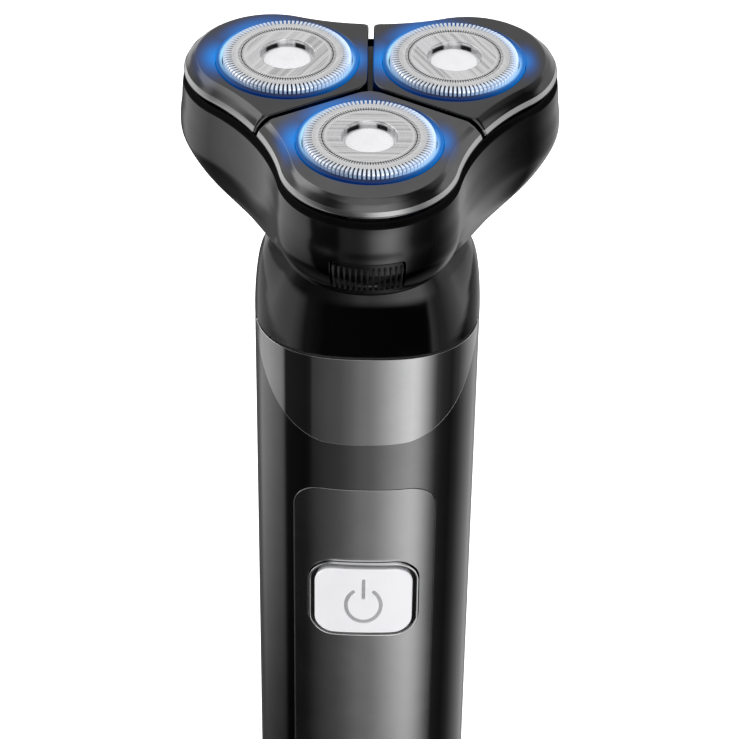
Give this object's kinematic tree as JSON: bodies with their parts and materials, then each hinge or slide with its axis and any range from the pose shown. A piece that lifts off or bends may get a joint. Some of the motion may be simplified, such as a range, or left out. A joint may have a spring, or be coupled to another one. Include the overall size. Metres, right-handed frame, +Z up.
{
  "type": "rotary electric shaver",
  "caption": "Upright rotary shaver: squarish round-cornered handle, front panel with a power button, and a three-lobed head of tilting petals with lit rings round floating cutters.",
  "frame": {"origin": "centre of the flat underside of the base cap", "axes": "+Z up along the handle to the cutters, -Y the side with the power button, +X to the right seen from the button's side"},
  "size_m": [0.0658, 0.0615, 0.168],
  "materials": {
    "gloss_graphite": "glossy graphite",
    "gloss_badge": "high gloss",
    "satin_panel": "satin metallic paint",
    "piano_black": "polished",
    "chrome_trim": "bright",
    "silver_button": "satin silver paint",
    "satin_black": "satin",
    "gunmetal": "satin metallic paint",
    "light_guide": "clear blue light guide",
    "foil_steel": "fine ground",
    "cap_steel": "polished",
    "blade_steel": "ground",
    "structure": "moulded",
    "acetal": "natural acetal",
    "spring_steel": "drawn wire",
    "seal_rubber": "matt",
    "motor_steel": "zinc plated",
    "cell_wrap": "shrink wrap",
    "nickel": "nickel strip",
    "board": "solder mask",
    "switch_black": "moulded",
    "lead_red": "PVC sleeve"
  },
  "bodies": {
    "handle": {"rear_shell": "gloss_graphite", "front_shell": "gloss_graphite", "badge_plate": "gloss_badge", "front_panel": "satin_panel", "button_bezel": "chrome_trim", "base_cap": "piano_black", "shoulder_dome": "piano_black", "shoulder_gasket": "seal_rubber", "neck_spigot": "structure", "shaft_seal": "seal_rubber", "motor": "motor_steel", "motor_bracket": "structure", "bracket_screws": "motor_steel", "inner_frame": "structure", "battery": "cell_wrap", "battery_tabs": "nickel", "circuit_board": "board", "tact_switch": "switch_black", "charging_socket": "nickel", "button_gasket": "seal_rubber", "motor_leads": "lead_red"},
    "button": {"power_button": "silver_button"},
    "rotor": {"motor_shaft": "motor_steel", "drive_coupling": "acetal"},
    "head": {"hair_chamber": "satin_black", "head_collar": "structure", "gear_carrier": "structure", "gear_cover": "structure"},
    "latch": {"release_latch": "satin_black"},
    "centre_gear": {"centre_gear": "acetal"},
    "cutter_unit": {"cutter_frame": "structure"},
    "drive_gear_front": {"drive_gear_front": "acetal"},
    "spindle_front": {"spindle_front": "acetal", "spindle_spring_front": "spring_steel"},
    "petal_front": {"petal_front": "gunmetal", "light_ring_front": "light_guide", "retainer_front": "structure"},
    "guard_front": {"guard_front": "foil_steel", "guard_cap_front": "cap_steel"},
    "cutter_front": {"cutter_front": "blade_steel"},
    "drive_gear_right": {"drive_gear_right": "acetal"},
    "spindle_right": {"spindle_right": "acetal", "spindle_spring_right": "spring_steel"},
    "petal_right": {"petal_right": "gunmetal", "light_ring_right": "light_guide", "retainer_right": "structure"},
    "guard_right": {"guard_right": "foil_steel", "guard_cap_right": "cap_steel"},
    "cutter_right": {"cutter_right": "blade_steel"},
    "drive_gear_left": {"drive_gear_left": "acetal"},
    "spindle_left": {"spindle_left": "acetal", "spindle_spring_left": "spring_steel"},
    "petal_left": {"petal_left": "gunmetal", "light_ring_left": "light_guide", "retainer_left": "structure"},
    "guard_left": {"guard_left": "foil_steel", "guard_cap_left": "cap_steel"},
    "cutter_left": {"cutter_left": "blade_steel"}
  },
  "joints": [
    {"name": "power_press", "type": "slide", "parent": "handle", "child": "button", "axis": [0, 1, 0], "range_m": [0, 0.0008], "stiffness_N_per_m": 1500},
    {"name": "motor_spin", "type": "hinge", "parent": "handle", "child": "rotor", "pos_m": [0, 0, 0.14], "axis": [0, 0, 1], "continuous": true},
    {"name": "head_pull", "type": "slide", "parent": "handle", "child": "head", "axis": [0, 0, 1], "range_m": [0, 0.025]},
    {"name": "latch_press", "type": "slide", "parent": "head", "child": "latch", "axis": [0, 1, 0], "range_m": [0, 0.0007], "stiffness_N_per_m": 1200},
    {"name": "centre_gear_spin", "type": "hinge", "parent": "head", "child": "centre_gear", "pos_m": [0, 0, 0.15], "axis": [0, 0, 1], "continuous": true},
    {"name": "cutter_unit_lift", "type": "slide", "parent": "head", "child": "cutter_unit", "axis": [0, 0, 1], "range_m": [0, 0.015]},
    {"name": "drive_gear_spin_front", "type": "hinge", "parent": "head", "child": "drive_gear_front", "pos_m": [0, -0.01645, 0.151], "axis": [0, 0, 1], "continuous": true},
    {"name": "spindle_press_front", "type": "slide", "parent": "drive_gear_front", "child": "spindle_front", "axis": [0, 0, -1], "range_m": [0, 0.001], "stiffness_N_per_m": 300, "deforming": ["spindle_spring_front"]},
    {"name": "petal_tilt_front", "type": "hinge", "parent": "cutter_unit", "child": "petal_front", "pos_m": [0, -0.031, 0.1622], "axis": [-1, 0, 0], "range_deg": [0, 3], "stiffness_Nm_per_rad": 0.2, "springref_deg": -5.73},
    {"name": "guard_float_front", "type": "slide", "parent": "petal_front", "child": "guard_front", "axis": [0, 0, -1], "range_m": [0, 0.001], "stiffness_N_per_m": 500, "springref_m": -0.001},
    {"name": "cutter_spin_front", "type": "hinge", "parent": "guard_front", "child": "cutter_front", "pos_m": [0, -0.01645, 0.164], "axis": [0, 0, 1], "continuous": true},
    {"name": "drive_gear_spin_right", "type": "hinge", "parent": "head", "child": "drive_gear_right", "pos_m": [0.01425, 0.00822, 0.151], "axis": [0, 0, 1], "continuous": true},
    {"name": "spindle_press_right", "type": "slide", "parent": "drive_gear_right", "child": "spindle_right", "axis": [0, 0, -1], "range_m": [0, 0.001], "stiffness_N_per_m": 300, "deforming": ["spindle_spring_right"]},
    {"name": "petal_tilt_right", "type": "hinge", "parent": "cutter_unit", "child": "petal_right", "pos_m": [0.02685, 0.0155, 0.1622], "axis": [0.5, -0.866, 0], "range_deg": [0, 3], "stiffness_Nm_per_rad": 0.2, "springref_deg": -5.73},
    {"name": "guard_float_right", "type": "slide", "parent": "petal_right", "child": "guard_right", "axis": [0, 0, -1], "range_m": [0, 0.001], "stiffness_N_per_m": 500, "springref_m": -0.001},
    {"name": "cutter_spin_right", "type": "hinge", "parent": "guard_right", "child": "cutter_right", "pos_m": [0.01425, 0.00822, 0.164], "axis": [0, 0, 1], "continuous": true},
    {"name": "drive_gear_spin_left", "type": "hinge", "parent": "head", "child": "drive_gear_left", "pos_m": [-0.01425, 0.00822, 0.151], "axis": [0, 0, 1], "continuous": true},
    {"name": "spindle_press_left", "type": "slide", "parent": "drive_gear_left", "child": "spindle_left", "axis": [0, 0, -1], "range_m": [0, 0.001], "stiffness_N_per_m": 300, "deforming": ["spindle_spring_left"]},
    {"name": "petal_tilt_left", "type": "hinge", "parent": "cutter_unit", "child": "petal_left", "pos_m": [-0.02685, 0.0155, 0.1622], "axis": [0.5, 0.866, 0], "range_deg": [0, 3], "stiffness_Nm_per_rad": 0.2, "springref_deg": -5.73},
    {"name": "guard_float_left", "type": "slide", "parent": "petal_left", "child": "guard_left", "axis": [0, 0, -1], "range_m": [0, 0.001], "stiffness_N_per_m": 500, "springref_m": -0.001},
    {"name": "cutter_spin_left", "type": "hinge", "parent": "guard_left", "child": "cutter_left", "pos_m": [-0.01425, 0.00822, 0.164], "axis": [0, 0, 1], "continuous": true}
  ],
  "couplings": [
    {"joint": "centre_gear_spin", "follows": "motor_spin", "ratio": 1},
    {"joint": "drive_gear_spin_front", "follows": "motor_spin", "ratio": -1.35},
    {"joint": "cutter_spin_front", "follows": "motor_spin", "ratio": -1.35},
    {"joint": "drive_gear_spin_right", "follows": "motor_spin", "ratio": -1.35},
    {"joint": "cutter_spin_right", "follows": "motor_spin", "ratio": -1.35},
    {"joint": "drive_gear_spin_left", "follows": "motor_spin", "ratio": -1.35},
    {"joint": "cutter_spin_left", "follows": "motor_spin", "ratio": -1.35}
  ]
}
